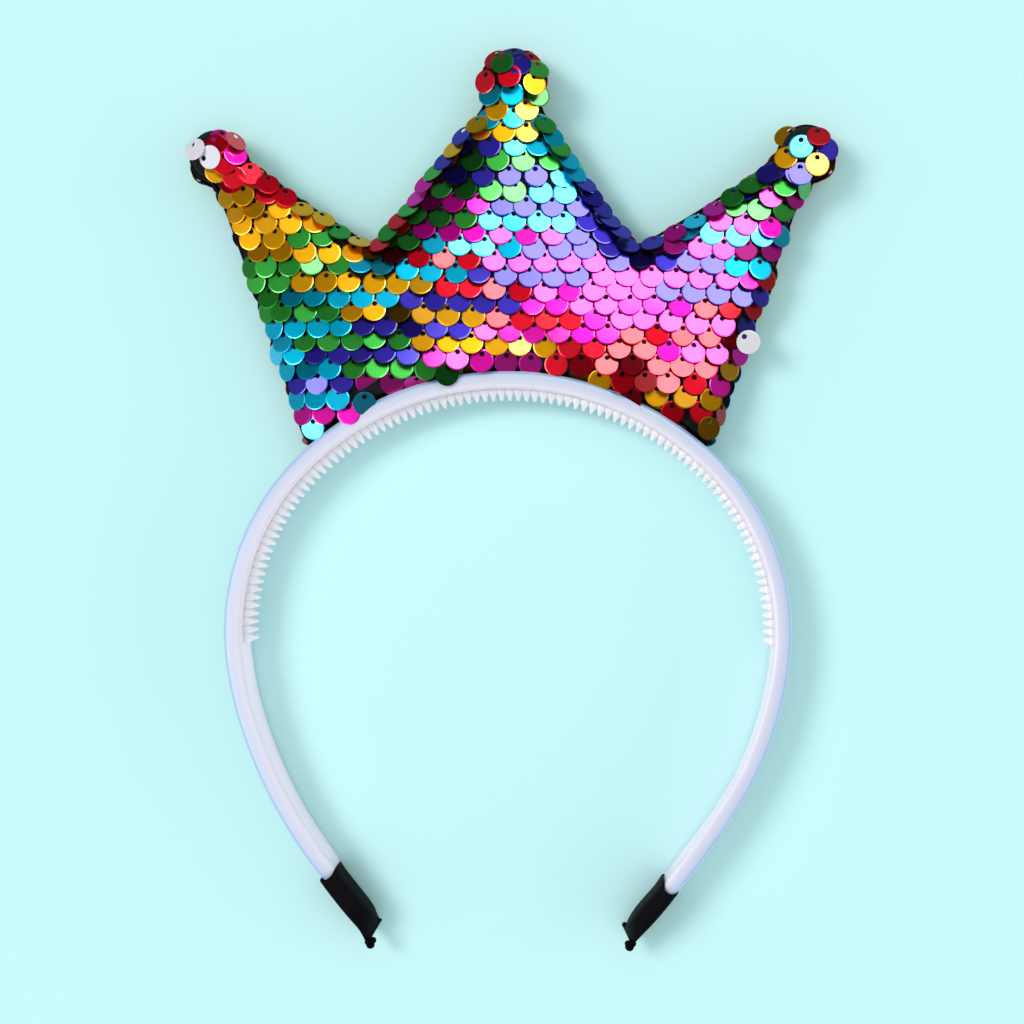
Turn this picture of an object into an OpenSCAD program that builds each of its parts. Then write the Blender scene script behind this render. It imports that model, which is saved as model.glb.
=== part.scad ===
// A child's mini crown headband, lying flat as on a table.
// A curved plastic band carries a comb strip on its inner face and a ribbed cloth sleeve on each
// tip. On its top stands a stuffed crown: two panels of sequin cloth sewn round a wadding core.
// X runs across the band, Y points to the crown's tips and Z is up from the table.
// Plan points are measured from the middle of the band's outer face, at the crown's foot.

/* [Band] */
// Width across the outer faces at the widest place
band_w = 121.6; // [100:0.2:150]
// Thickness, from the outer face to the inner one
band_t = 3.6; // [2.6:0.1:4.6]
// Height, standing up from the table
band_h = 9.5; // [7:0.1:13]
// Thickness of the slimmer tip inside each sleeve
tip_t = 2.6; // [1.6:0.1:3]
// Height of the slimmer tip
tip_h = 7.8; // [5:0.1:9]
// Rounding of the two long outer edges
band_outer_r = 1.1; // [0.5:0.1:1.25]
// Rounding of the two long inner edges
band_inner_r = 0.7; // [0.3:0.1:1.25]

/* [Comb strip] */
// Thickness of the strip under the teeth
comb_base_t = 0.6; // [0.4:0.1:2]
// Height of a tooth above the strip
comb_tooth_h = 1.55; // [0.6:0.05:2.5]
// Distance from one tooth to the next
comb_pitch = 1.85; // [1.4:0.05:4]
// Height of the strip
comb_h = 5.6; // [3:0.1:7]
// Height of a tooth's tip, to which its sides slope
comb_tip_h = 1.4; // [0.4:0.1:2.4]
// Width of a tooth's tip, along the strip
comb_tip_w = 0.5; // [0.2:0.05:1.2]
// Direction of the band where the strip ends, 90 being the widest place
comb_end = 93; // [60:0.5:96]

/* [Sleeves] */
// Thickness of the ribbed cloth
sleeve_wall = 1; // [0.6:0.05:1.6]
// Length of the left sleeve, from its mouth to the sealed tip
sleeve_left_len = 17.9; // [14:0.1:26]
// Length of the right sleeve
sleeve_right_len = 16; // [14:0.1:26]
// Length of the straight tip that each sleeve covers
sleeve_cover = 10; // [5:0.1:12]
// Thickness of the sealed tip
sleeve_seal_t = 1.6; // [1:0.1:3]

/* [Crown] */
// Distance between the middles of the left and right balls
crown_w = 127.5; // [100:0.5:150]
// Height of the middle ball's centre above the band
crown_h = 62.6; // [45:0.2:80]
// Width of the crown's foot, measured straight across
foot_w = 86.6; // [60:0.2:90]
// Radius of the left ball
ball_left_r = 6.1; // [4:0.1:9]
// Radius of the middle ball
ball_middle_r = 7.4; // [4:0.1:9]
// Radius of the right ball
ball_right_r = 6.4; // [4:0.1:9]
// Stuffed height of the front above the seam
front_loft = 6; // [4:0.1:9]
// Stuffed height of the back below the seam, before the table flattens it
back_loft = 6; // [4:0.1:9]
// Thickness of the sequin cloth, sequins included
panel_t = 1.5; // [1:0.1:2]
// Height of each panel's edge in the seam
seam_t = 0.9; // [0.5:0.1:1.5]
// Height of each panel above or below the seam at the foot
foot_loft = 4; // [2.5:0.1:4.5]

/* [Clearances] */
// Gap between pieces that lie on each other
fit_gap = 0.15; // [0.1:0.01:0.25]

/* [Hidden] */

// Each limb is a run of arcs from the middle of the top to the straight tip, on the outer face.
// The lean is how far the lower edge is turned outwards, about the upper one, where the arc ends.
// [radius as a share of band_w, turn in degrees, lean in degrees]
LIMB_LEFT = [[0.530, 44, 0], [0.432, 53, -3], [0.600, 10, -2], [0.822, 22.4, 0]];
LIMB_RIGHT = [[0.530, 44, 0], [0.432, 53, 0], [0.620, 25, 4], [1.528, 6.7, 0]];

// The sleeve past the end of the band.
// [along as a share of the length past the band, share of full width, share of full height]
SLEEVE_TAPER = [[0.10, 1.00, 0.98], [0.32, 0.97, 0.92], [0.56, 0.90, 0.80], [0.78, 0.80, 0.68]];
// The sealed tip of each sleeve stands slanting: its low inner corner and its high outer end.
// [share of the length past the band, across as a share of the width, up as a share of the height]
SEAL_LEFT = [[0.60, -0.10, 0.10], [1.00, -0.72, 0.62]];
SEAL_RIGHT = [[0.55, 0.22, 0.10], [1.00, -0.44, 0.62]];

// The crown's middle line, along which the stuffing is highest.
// [across as a share of crown_w / 2, up as a share of crown_h, share of the loft]
SPINE = [
    [-0.620, -0.100, 0.80], // left end of the foot
    [-0.440, 0.170, 1.00],  // under the left valley
    [-0.927, 0.698, 0.62],  // left neck
    [-0.995, 0.755, 0.76],  // left ball
    [0.004, 0.270, 1.04],   // middle of the crown
    [0.022, 0.895, 0.68],   // middle neck
    [0.023, 1.000, 0.82],   // middle ball
    [0.436, 0.170, 1.00],   // under the right valley
    [0.929, 0.676, 0.62],   // right neck
    [1.006, 0.741, 0.78],   // right ball
    [0.620, -0.100, 0.80],  // right end of the foot
];

// The two valleys between the points.
// [across as a share of crown_w / 2, up as a share of crown_h, radius as a share of crown_w,
//  first and last direction in degrees]
VALLEYS = [
    [-0.456, 0.462, 0.009, -125, -39],
    [0.451, 0.480, 0.020, -132, -62],
];

// How far each side of the outline bows out, as a share of its length: left side, left point's
// slope, middle point's two slopes, right point's slope and right side.
BOWS = [-0.002, -0.012, 0.005, -0.020, -0.022, 0.010];

// The first and last direction of each ball's edge in degrees, going clockwise.
BALL_TURNS = [[-90, -360], [220, -40], [184, -92]];

// The outline in strips between the middle line and the edge, clockwise from the left corner.
// [kind, first share of the side, last share, first spine row, last spine row, ribs]
// Kinds 0 to 5 are the sides in order, 6 to 8 the balls, 9 and 10 the valleys, 11 the foot.
STRIPS = [
    [0, 0.00, 0.34, 0, 1, 5],
    [0, 0.34, 0.95, 1, 2, 7],
    [0, 0.95, 1.00, 2, 3, 1],
    [6, 0.00, 1.00, 3, 3, 12],
    [1, 0.00, 0.08, 3, 2, 1],
    [1, 0.08, 1.00, 2, 1, 7],
    [9, 0.00, 1.00, 1, 1, 2],
    [2, 0.00, 0.30, 1, 4, 4],
    [2, 0.30, 0.94, 4, 5, 7],
    [2, 0.94, 1.00, 5, 6, 1],
    [7, 0.00, 1.00, 6, 6, 12],
    [3, 0.00, 0.06, 6, 5, 1],
    [3, 0.06, 0.70, 5, 4, 7],
    [3, 0.70, 1.00, 4, 7, 4],
    [10, 0.00, 1.00, 7, 7, 2],
    [4, 0.00, 0.92, 7, 8, 7],
    [4, 0.92, 1.00, 8, 9, 1],
    [8, 0.00, 1.00, 9, 9, 12],
    [5, 0.00, 0.05, 9, 8, 1],
    [5, 0.05, 0.66, 8, 7, 7],
    [5, 0.66, 1.00, 7, 10, 5],
    [11, 0.00, 0.18, 10, 7, 5],
    [11, 0.18, 0.50, 7, 4, 4],
    [11, 0.50, 0.82, 4, 1, 4],
    [11, 0.82, 1.00, 1, 0, 5],
];

// Rows of facets from the edge to the middle line, on the outside and on the hidden inside.
OUT_STEPS = 6;
IN_STEPS = 3;
// The stuffed section's fullness, 2 being an ellipse
FULLNESS = 2.4;
// Points round a sleeve's section
SLEEVE_POINTS = 16;
// Degrees of turn between sections of the band, and flats round each corner of its section
TURN_STEP = 5;
CORNER_FLATS = 3;

// Height of the middle of the band, and of the crown's seam, above the table
mid_z = sleeve_wall + fit_gap + tip_h / 2;
sleeve_h = 2 * mid_z;
sleeve_w = tip_t + 2 * (sleeve_wall + fit_gap);

// The arcs' shares are set to the true scale, so that band_w is the widest place.
top_share = LIMB_LEFT[0][0];
side_share = LIMB_LEFT[1][0];
half_share = top_share * sin(LIMB_LEFT[0][1]) + side_share * (1 - sin(LIMB_LEFT[0][1]));
band_scale = band_w / 2 / half_share;
top_r = top_share * band_scale;

// Exact at both ends, so that points made from two sides are the same
function mix(a, b, t) = t == 0 ? a : t == 1 ? b : a + (b - a) * t;

// Directions are turned clockwise from +X, for the right limb; the left one is its mirror.
function ahead(turn) = [cos(turn), -sin(turn)];
function inwards(turn) = [-sin(turn), -cos(turn)];
function arc_r(limb, i) = limb[i][0] * band_scale;
function turn_to(limb, i) = i == 0 ? 0 : turn_to(limb, i - 1) + limb[i - 1][1];
function start_of(limb, i) =
    i == 0 ? [0, 0]
           : start_of(limb, i - 1)
             + arc_r(limb, i - 1) * (inwards(turn_to(limb, i - 1)) - inwards(turn_to(limb, i)));
function centre_of(limb, i) = start_of(limb, i) + arc_r(limb, i) * inwards(turn_to(limb, i));
// The point of a limb where the band has turned so far, at a depth inside the outer face
function limb_point(limb, turn, depth, i = 0) =
    (i == len(limb) - 1 || turn <= turn_to(limb, i + 1))
        ? centre_of(limb, i) - (arc_r(limb, i) - depth) * inwards(turn)
        : limb_point(limb, turn, depth, i + 1);

// The lean there, and the point at a depth inside the outer face and at a height from the middle
function lean_at(limb, turn, i = 0) =
    (i == len(limb) - 1 || turn <= turn_to(limb, i + 1))
        ? mix(i == 0 ? 0 : limb[i - 1][2], limb[i][2], (turn - turn_to(limb, i)) / limb[i][1])
        : lean_at(limb, turn, i + 1);
function limb_at(limb, turn, depth, up) =
    let (p = limb_point(limb, turn, depth - (band_h / 2 - up) * tan(lean_at(limb, turn))))
    [p[0], p[1], mid_z + up];

// The direction of each limb's tip, and a point along the middle of the tip, from the shoulder
function tip_turn(limb) = turn_to(limb, len(limb));
function tip_point(limb, along) =
    limb_point(limb, tip_turn(limb), band_t / 2) + along * ahead(tip_turn(limb));

// The outline of the part, used to put its middle on the origin
function sleeve_end_y(limb, length, seal) =
    tip_point(limb, fit_gap + length)[1] + seal[1][1] * sleeve_w * inwards(tip_turn(limb))[1];
left_end_y = sleeve_end_y(LIMB_LEFT, sleeve_left_len, SEAL_LEFT);
right_end_y = sleeve_end_y(LIMB_RIGHT, sleeve_right_len, SEAL_RIGHT);
low_y = min(left_end_y, right_end_y);
ball_left = [SPINE[3][0] * crown_w / 2, SPINE[3][1] * crown_h];
ball_middle = [SPINE[6][0] * crown_w / 2, SPINE[6][1] * crown_h];
ball_right = [SPINE[9][0] * crown_w / 2, SPINE[9][1] * crown_h];
left_x = min(ball_left[0] - ball_left_r, -band_w / 2);
right_x = max(ball_right[0] + ball_right_r, band_w / 2);
top_y = ball_middle[1] + ball_middle_r;
to_origin = [-(left_x + right_x) / 2, -(low_y + top_y) / 2, 0];

// Triangles of a skin through rings of equal length, one after another, closed at both ends
function quad(a, b, c, d) = [[a, b, c], [a, c, d]];
function skin(rings, count) =
    [for (j = [0:rings - 2]) for (k = [0:count - 1])
        let (a = j * count + k,
             b = j * count + (k + 1) % count)
        each quad(a, b, b + count, a + count)];
function closed_skin(rings, count) =
    let (last = (rings - 1) * count)
    concat(skin(rings, count),
           [for (k = [1:count - 2]) [0, k + 1, k]],
           [for (k = [1:count - 2]) [last, last + k, last + k + 1]]);
function mirrored(ring) = [for (p = ring) [-p[0], p[1], p[2]]];

// The band's section, its corners rounded in short flats: depth inside the outer face, height
function corner(c, r, from) =
    [for (k = [0:CORNER_FLATS]) c + r * [cos(from + 90 * k / CORNER_FLATS),
                                         sin(from + 90 * k / CORNER_FLATS)]];
function rounded_ring(near, far, h, near_r, far_r) =
    concat(corner([far - far_r, h / 2 - far_r], far_r, 0),
           corner([near + near_r, h / 2 - near_r], near_r, 90),
           corner([near + near_r, near_r - h / 2], near_r, 180),
           corner([far - far_r, far_r - h / 2], far_r, 270));
BAND_RING = rounded_ring(0, band_t, band_h, band_outer_r, band_inner_r);
TIP_RING = rounded_ring((band_t - tip_t) / 2, (band_t + tip_t) / 2, tip_h,
                        band_inner_r, band_inner_r);

// Sections of a limb at a turn, and of its tip at a length past the end of the last arc
function limb_ring(limb, turn) = [for (q = BAND_RING) limb_at(limb, turn, q[0], q[1])];
function tip_ring(limb, along) =
    let (turn = tip_turn(limb))
    [for (q = TIP_RING)
        let (p = limb_at(limb, turn, q[0], q[1]) + along * concat(ahead(turn), [0]))
        p];
function limb_rings(limb) =
    concat([for (i = [0:len(limb) - 1])
                let (steps = ceil(limb[i][1] / TURN_STEP))
                for (k = [1:steps]) limb_ring(limb, turn_to(limb, i) + limb[i][1] * k / steps)],
           [tip_ring(limb, 0), tip_ring(limb, sleeve_cover)]);

module band() {
    left = limb_rings(LIMB_LEFT);
    rings = concat([for (i = [len(left) - 1:-1:0]) mirrored(left[i])],
                   [limb_ring(LIMB_RIGHT, 0)],
                   limb_rings(LIMB_RIGHT));
    color([0.89, 0.90, 0.96])
        translate(to_origin)
            polyhedron(points = [for (ring = rings) each ring],
                       faces = closed_skin(len(rings), len(BAND_RING)));
}

// Distances along the comb strip are measured on the band's inner face, from the middle.
comb_depth = band_t + fit_gap;
comb_top_len = (top_r - comb_depth) * LIMB_LEFT[0][1] * PI / 180;
comb_side_r = side_share * band_scale - comb_depth;
comb_side_len = comb_side_r * (comb_end - LIMB_LEFT[0][1]) * PI / 180;
comb_teeth = 2 * round((comb_top_len + comb_side_len) / comb_pitch);
comb_step = 2 * (comb_top_len + comb_side_len) / comb_teeth;
function comb_turn(s) =
    s <= comb_top_len ? s / (top_r - comb_depth) * 180 / PI
                      : LIMB_LEFT[0][1] + (s - comb_top_len) / comb_side_r * 180 / PI;
function comb_at(s, depth, up) =
    let (p = limb_at(s < 0 ? LIMB_LEFT : LIMB_RIGHT, comb_turn(abs(s)), comb_depth + depth, up))
    [s < 0 ? -p[0] : p[0], p[1], p[2]];

// Each tooth is a blunt wedge whose foot takes up the strip's face from one valley to the next.
module comb_strip() {
    half = comb_teeth * comb_step / 2;
    deep = comb_base_t + comb_tooth_h;
    valleys = [for (i = [0:comb_teeth])
        let (s = i * comb_step - half)
        each [comb_at(s, 0, -comb_h / 2), comb_at(s, 0, comb_h / 2),
              comb_at(s, comb_base_t, comb_h / 2), comb_at(s, comb_base_t, -comb_h / 2)]];
    tips = [for (i = [0:comb_teeth - 1])
        let (s = (i + 0.5) * comb_step - half)
        each [comb_at(s - comb_tip_w / 2, deep, comb_tip_h / 2),
              comb_at(s - comb_tip_w / 2, deep, -comb_tip_h / 2),
              comb_at(s + comb_tip_w / 2, deep, -comb_tip_h / 2),
              comb_at(s + comb_tip_w / 2, deep, comb_tip_h / 2)]];
    faces = [for (i = [0:comb_teeth - 1])
        let (a = 4 * i,
             b = a + 4,
             t = len(valleys) + a)
        each concat(quad(a, a + 1, b + 1, b), quad(a + 1, a + 2, b + 2, b + 1),
                    quad(a + 3, a, b, b + 3), quad(a + 2, a + 3, t + 1, t),
                    quad(a + 3, b + 3, t + 2, t + 1), quad(b + 3, b + 2, t + 3, t + 2),
                    quad(b + 2, a + 2, t, t + 3), quad(t, t + 1, t + 2, t + 3))];
    end = 4 * comb_teeth;
    color([0.95, 0.96, 0.99])
        translate(to_origin)
            polyhedron(points = concat(valleys, tips),
                       faces = concat(faces, quad(3, 2, 1, 0), quad(end, end + 1, end + 2, end + 3)));
}

// A ring of points round a rounded box section: across, up
function section_ring(w, h) =
    let (full = 0.55,
         widest = pow(cos(180 / SLEEVE_POINTS), full))
    [for (k = [0:SLEEVE_POINTS - 1])
        let (a = (k + 0.5) * 360 / SLEEVE_POINTS)
        [sign(cos(a)) * pow(abs(cos(a)), full) / widest * w / 2,
         sign(sin(a)) * pow(abs(sin(a)), full) / widest * h / 2]];
// A section set at a point of the plan, square to the direction there
function placed(ring, at, turn) =
    [for (q = ring)
        let (p = at + q[0] * inwards(turn))
        [p[0], p[1], mid_z + q[1]]];
// The slanting seal: points of the ring are drawn to the line between its two ends.
function seal_ring(seal, at, turn, reach) =
    [for (k = [0:SLEEVE_POINTS - 1])
        let (a = (k + 1) * 360 / SLEEVE_POINTS + 45,
             row = mix(seal[0], seal[1], (1 - cos(a)) / 2),
             side = sin(a) * sleeve_seal_t / 2,
             p = at + row[0] * reach * ahead(turn) + (row[1] * sleeve_w - side) * inwards(turn))
        [p[0], p[1], row[2] * sleeve_h + side]];

module sleeve(limb, length, seal) {
    turn = tip_turn(limb);
    reach = length - sleeve_cover;
    mouth = tip_point(limb, fit_gap);
    end = tip_point(limb, fit_gap + sleeve_cover);
    hollow = section_ring(tip_t + 2 * fit_gap, tip_h + 2 * fit_gap);
    around = section_ring(sleeve_w, sleeve_h);
    rings = concat(
        [placed(hollow, end, turn), placed(hollow, mouth, turn),
         placed(around, mouth, turn), placed(around, end, turn)],
        [for (row = SLEEVE_TAPER)
            placed(section_ring(sleeve_w * row[1], sleeve_h * row[2]),
                   end + row[0] * reach * ahead(turn), turn)],
        [seal_ring(seal, end, turn, reach)]);
    polyhedron(points = [for (ring = rings) each ring],
               faces = closed_skin(len(rings), SLEEVE_POINTS));
}

module sleeve_left() {
    color([0.09, 0.08, 0.10])
        translate(to_origin)
            mirror([1, 0, 0]) sleeve(LIMB_LEFT, sleeve_left_len, SEAL_LEFT);
}

module sleeve_right() {
    color([0.09, 0.08, 0.10])
        translate(to_origin)
            sleeve(LIMB_RIGHT, sleeve_right_len, SEAL_RIGHT);
}

function on_circle(c, r, turn) = c + r * [cos(turn), sin(turn)];
// A point of the middle line between two rows of SPINE, and its loft: x, y, share of the loft
function spine_row(i) = [SPINE[i][0] * crown_w / 2, SPINE[i][1] * crown_h, SPINE[i][2]];
function spine_at(i, j, k, steps) =
    i <= j ? mix(spine_row(i), spine_row(j), k / steps)
           : mix(spine_row(j), spine_row(i), (steps - k) / steps);

// The foot follows the band's outer face, whose top arc it stands on.
foot_r = top_r + fit_gap;
foot_turn = asin(foot_w / 2 / foot_r);
function foot_point(share) =
    let (turn = foot_turn * (1 - 2 * share))
    [foot_r * sin(turn), foot_r * cos(turn) - top_r];

BALLS = [[ball_left, ball_left_r], [ball_middle, ball_middle_r], [ball_right, ball_right_r]];
function ball_edge(i, share) =
    on_circle(BALLS[i][0], BALLS[i][1], mix(BALL_TURNS[i][0], BALL_TURNS[i][1], share));
function valley_edge(i, share) =
    let (v = VALLEYS[i])
    on_circle([v[0] * crown_w / 2, v[1] * crown_h], v[2] * crown_w, mix(v[3], v[4], share));
function side_edge(i, share) =
    let (a = [foot_point(1), ball_edge(0, 1), valley_edge(0, 1), ball_edge(1, 1),
              valley_edge(1, 1), ball_edge(2, 1)][i],
         b = [ball_edge(0, 0), valley_edge(0, 0), ball_edge(1, 0), valley_edge(1, 0),
              ball_edge(2, 0), foot_point(0)][i],
         d = b - a)
    mix(a, b, share) + [-d[1], d[0]] * BOWS[i] * 4 * share * (1 - share);
function edge(kind, share) =
    kind < 6 ? side_edge(kind, share)
    : kind < 9 ? ball_edge(kind - 6, share)
    : kind < 11 ? valley_edge(kind - 9, share)
    : foot_point(share);

// At the foot the panels open out from the seam to foot_loft, over a short way from each corner.
function foot_open(share) = min(1, share * 14, (1 - share) * 14);
// Each rib: its point on the edge, its point on the middle line, the loft there, and how far
// the foot is open
RIBS = [for (s = STRIPS) for (k = [0:s[5] - 1])
    let (share = mix(s[1], s[2], k / s[5]),
         middle = spine_at(s[3], s[4], k, s[5]))
    [edge(s[0], share),
     [middle[0], middle[1]],
     middle[2],
     s[0] == 11 ? foot_open(share) : 0]];

function stuffed(t) = pow(1 - pow(1 - t, FULLNESS), 1 / FULLNESS);
// Even steps in angle put more facets near the edge, where the surface is steep.
function step_at(k, steps) = 1 - cos(90 * k / steps);
// Points up one rib, from its edge or from an inset inside it to the middle line, as a surface
// that rises from height low to height high and is cut off at a limit
function rise(rib, inset, low, high, limit, steps, from, way) =
    let (d = rib[1] - rib[0],
         start = rib[0] + d / norm(d) * inset)
    [for (k = [from:way:steps - from])
        let (t = step_at(k, steps),
             p = mix(start, rib[1], t),
             z = min(limit, mix(low, high, stuffed(t))))
        [p[0], p[1], z]];

// A panel's section along one rib: up the outside, round the edge, and back along the inside
function panel_rib(rib, loft, limit) =
    let (d = rib[1] - rib[0],
         inset = rib[0] + d / norm(d) * panel_t,
         high = rib[2] * loft,
         foot = mix(seam_t, foot_loft, rib[3]),
         inner_low = mix(0.5, foot_loft - panel_t, rib[3]))
    concat(rise(rib, 0, foot, high, limit, OUT_STEPS, OUT_STEPS, -1),
           [[rib[0][0], rib[0][1], fit_gap / 2], [inset[0], inset[1], fit_gap / 2]],
           rise(rib, panel_t, inner_low, high - panel_t, limit - panel_t, IN_STEPS, 0, 1));

// The wadding's section: from the middle of its top round the edge to the middle of its bottom
function padding_rib(rib) =
    let (inset = panel_t + fit_gap,
         low = mix(0.5, foot_loft - panel_t, rib[3]) - fit_gap,
         top = rise(rib, inset, low, rib[2] * front_loft - inset, 2 * mid_z, IN_STEPS,
                    IN_STEPS, -1),
         bottom = rise(rib, inset, low, rib[2] * back_loft - inset, mid_z - inset, IN_STEPS,
                       0, 1))
    concat(top, [for (p = bottom) [p[0], p[1], -p[2]]]);

// One closed skin through the ribs in turn. Ribs from both sides meet on the middle line.
module sewn(ribs) {
    count = len(ribs[0]);
    total = len(ribs);
    points = [for (rib = ribs) each rib];
    faces = [for (i = [0:total - 1]) for (k = [0:count - 2])
        let (a = i * count + k,
             b = ((i + 1) % total) * count + k)
        each [[a, b + 1, b], [a, a + 1, b + 1]]];
    polyhedron(points = points, faces = faces);
}

module crown_front() {
    color([0.55, 0.35, 0.62])
        translate(to_origin)
            translate([0, 0, mid_z])
                sewn([for (rib = RIBS) panel_rib(rib, front_loft, 2 * mid_z)]);
}

module crown_back() {
    color([0.75, 0.35, 0.45])
        translate(to_origin)
            translate([0, 0, mid_z])
                mirror([0, 0, 1])
                    sewn([for (rib = RIBS) panel_rib(rib, back_loft, mid_z)]);
}

module crown_padding() {
    color([0.93, 0.93, 0.90])
        translate(to_origin)
            translate([0, 0, mid_z])
                sewn([for (rib = RIBS) padding_rib(rib)]);
}

band();
comb_strip();
sleeve_left();
sleeve_right();
crown_front();
crown_back();
crown_padding();
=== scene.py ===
import math
import random

import bpy
from mathutils import Matrix, Quaternion, Vector
from mathutils.bvhtree import BVHTree
from mathutils.interpolate import poly_3d_calc


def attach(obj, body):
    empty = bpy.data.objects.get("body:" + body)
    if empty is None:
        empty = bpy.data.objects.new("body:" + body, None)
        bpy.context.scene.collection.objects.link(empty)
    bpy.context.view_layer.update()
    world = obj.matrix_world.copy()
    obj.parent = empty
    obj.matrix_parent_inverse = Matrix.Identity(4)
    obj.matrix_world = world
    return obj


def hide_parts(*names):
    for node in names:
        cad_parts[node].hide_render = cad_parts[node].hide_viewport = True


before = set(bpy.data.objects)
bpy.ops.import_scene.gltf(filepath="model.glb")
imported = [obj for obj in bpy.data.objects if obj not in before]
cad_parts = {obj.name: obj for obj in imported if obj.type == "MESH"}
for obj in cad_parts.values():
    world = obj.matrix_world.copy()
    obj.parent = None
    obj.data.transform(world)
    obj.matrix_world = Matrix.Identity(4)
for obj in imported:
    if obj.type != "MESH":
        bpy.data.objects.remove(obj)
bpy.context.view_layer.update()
random.seed(23)

# The headband lies flat and is looked at from almost straight above, a little from the right. The
# camera aims at a point about level with the band's upper edge.
MM = 0.001
CAMERA_SPOT = (21.18 * MM, -3.16 * MM, 345 * MM)
AIM = (1.08 * MM, -3.16 * MM, 9.8 * MM)
LENS = 55.5
SENSOR = 36
bpy.ops.object.camera_add(location=CAMERA_SPOT)
camera = bpy.context.object
look = Vector(AIM) - camera.location
sideways = look.cross(Vector((0, 1, 0))).normalized()
upwards = sideways.cross(look).normalized()
camera.matrix_world = Matrix.Translation(camera.location) @ Matrix(
    (sideways, upwards, -look.normalized())).transposed().to_4x4()
camera.data.lens = LENS
camera.data.sensor_width = SENSOR
camera.data.clip_start = 0.01
bpy.context.scene.camera = camera

# A sheet of smooth pale cyan card lies under the headband. It is matt, and lit by a large soft lamp
# from the upper left whose light falls off slowly, with the pale walls of the room around it.


def linear(hex_colour):
    """An sRGB hex colour as the linear values that a shader takes."""
    channels = [int(hex_colour[i:i + 2], 16) / 255 for i in (1, 3, 5)]
    return tuple(c / 12.92 if c <= 0.04045 else ((c + 0.055) / 1.055) ** 2.4
                 for c in channels) + (1,)


def add_node(material, kind, settings=None, **links):
    """One node, its plain settings by name and its inputs by name: a value, or an output to link."""
    tree = material.node_tree
    node = tree.nodes.new(kind)
    for name, value in (settings or {}).items():
        setattr(node, name, value)
    for name, value in links.items():
        socket = node.inputs[int(name[1:])] if name[0] == "_" else node.inputs[name.replace("_", " ")]
        if isinstance(value, bpy.types.NodeSocket):
            tree.links.new(value, socket)
        else:
            socket.default_value = value
    return node


def new_material(name):
    """A material with an empty node tree."""
    material = bpy.data.materials.new(name)
    material.use_nodes = True
    material.node_tree.nodes.clear()
    return material


def finish_material(material, shader):
    """The material's output, fed by its shader."""
    out = material.node_tree.nodes.new("ShaderNodeOutputMaterial")
    material.node_tree.links.new(shader.outputs[0], out.inputs["Surface"])


bpy.ops.object.select_all(action="DESELECT")
bpy.ops.mesh.primitive_plane_add(size=6, location=(0, 0, 0))
card = bpy.context.object
card.name = "floor_card"
card_paint = new_material("matt_cyan_card")
# Coated card: a plain diffuse face with next to no shine.
finish_material(card_paint, add_node(
    card_paint, "ShaderNodeBsdfPrincipled", Base_Color=linear("#C9F2F3"), Roughness=0.9,
    Specular_IOR_Level=0.1))
card.data.materials.append(card_paint)

world = bpy.data.worlds.new("studio")
bpy.context.scene.world = world
world.use_nodes = True
world.node_tree.nodes.clear()
sky_way = add_node(world, "ShaderNodeTexCoord")


def dark_patch(way, inner, outer, dark, light):
    """The room's brightness round a direction: dark inside one angle, light outside another."""
    closeness = add_node(world, "ShaderNodeVectorMath", {"operation": "DOT_PRODUCT"},
                         _0=sky_way.outputs["Generated"], _1=tuple(Vector(way).normalized()))
    return add_node(world, "ShaderNodeMapRange", {"interpolation_type": "SMOOTHSTEP"},
                    Value=closeness.outputs["Value"], From_Min=math.cos(math.radians(outer)),
                    From_Max=math.cos(math.radians(inner)), To_Min=light, To_Max=dark)


camera_gap = dark_patch((0, 0, 1), 8, 17, 0.02, 0.13)
dark_corner = dark_patch((-0.50, 0.62, 0.60), 17, 27, 0.06, 1.0)
room_light = add_node(world, "ShaderNodeMath", {"operation": "MULTIPLY"},
                      _0=camera_gap.outputs[0], _1=dark_corner.outputs[0])
room = add_node(world, "ShaderNodeBackground", Color=(1.0, 1.0, 1.0, 1.0),
                Strength=room_light.outputs[0])
room_out = world.node_tree.nodes.new("ShaderNodeOutputWorld")
world.node_tree.links.new(room.outputs[0], room_out.inputs["Surface"])
bpy.context.scene.view_settings.view_transform = "Standard"
bpy.context.scene.view_settings.look = "None"


def soft_lamp(name, way, distance, width, height, radiance, colour=(1.0, 1.0, 1.0)):
    """An area lamp in a direction from the headband, turned to face it."""
    bpy.ops.object.light_add(type="AREA", location=Vector(way).normalized() * distance)
    lamp = bpy.context.object
    lamp.name = name
    lamp.rotation_euler = Vector(way).to_track_quat("Z", "Y").to_euler()
    lamp.data.shape = "RECTANGLE"
    lamp.data.size = width
    lamp.data.size_y = height
    lamp.data.energy = radiance * math.pi * width * height
    lamp.data.color = colour
    lamp.visible_camera = False
    return lamp


# The key and the fills light matt faces only. The window and the left wall are seen only as
# reflections, in the plastic and the film.
key = soft_lamp("key_lamp", (-0.70, 0.28, 0.80), 5.0, 1.8, 1.8, 11.6, (1.0, 0.93, 0.93))
key.visible_glossy = False
fill = soft_lamp("fill_lamp", (0, 0, 1), 1.6, 5.0, 5.0, 0.72, (0.82, 1.0, 1.0))
fill.visible_glossy = False
SIDE_FILLS = [("right_fill", (1.0, -0.15, 0.22), 2.6), ("low_fill", (0.1, -1.0, 0.25), 0.7),
              ("left_fill", (-1.0, -0.15, 0.22), 0.7)]
for name, way, strength in SIDE_FILLS:
    side_fill = soft_lamp(name, way, 2.0, 2.4, 1.0, strength, (1.0, 0.90, 0.93))
    side_fill.visible_glossy = False
window = soft_lamp("window", (0.30, 0.60, 0.86), 1.0, 0.70, 0.50, 6.3)
window.visible_diffuse = False
left_wall = soft_lamp("left_wall", (-0.62, -0.12, 0.78), 1.0, 0.62, 0.62, 5.8)
left_wall.visible_diffuse = False

# The band is injection-moulded white plastic with a cool, faintly lavender tint. It is smooth and
# half glossy, its long edges are rounded, and it narrows inside the sleeves at its tips.


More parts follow.
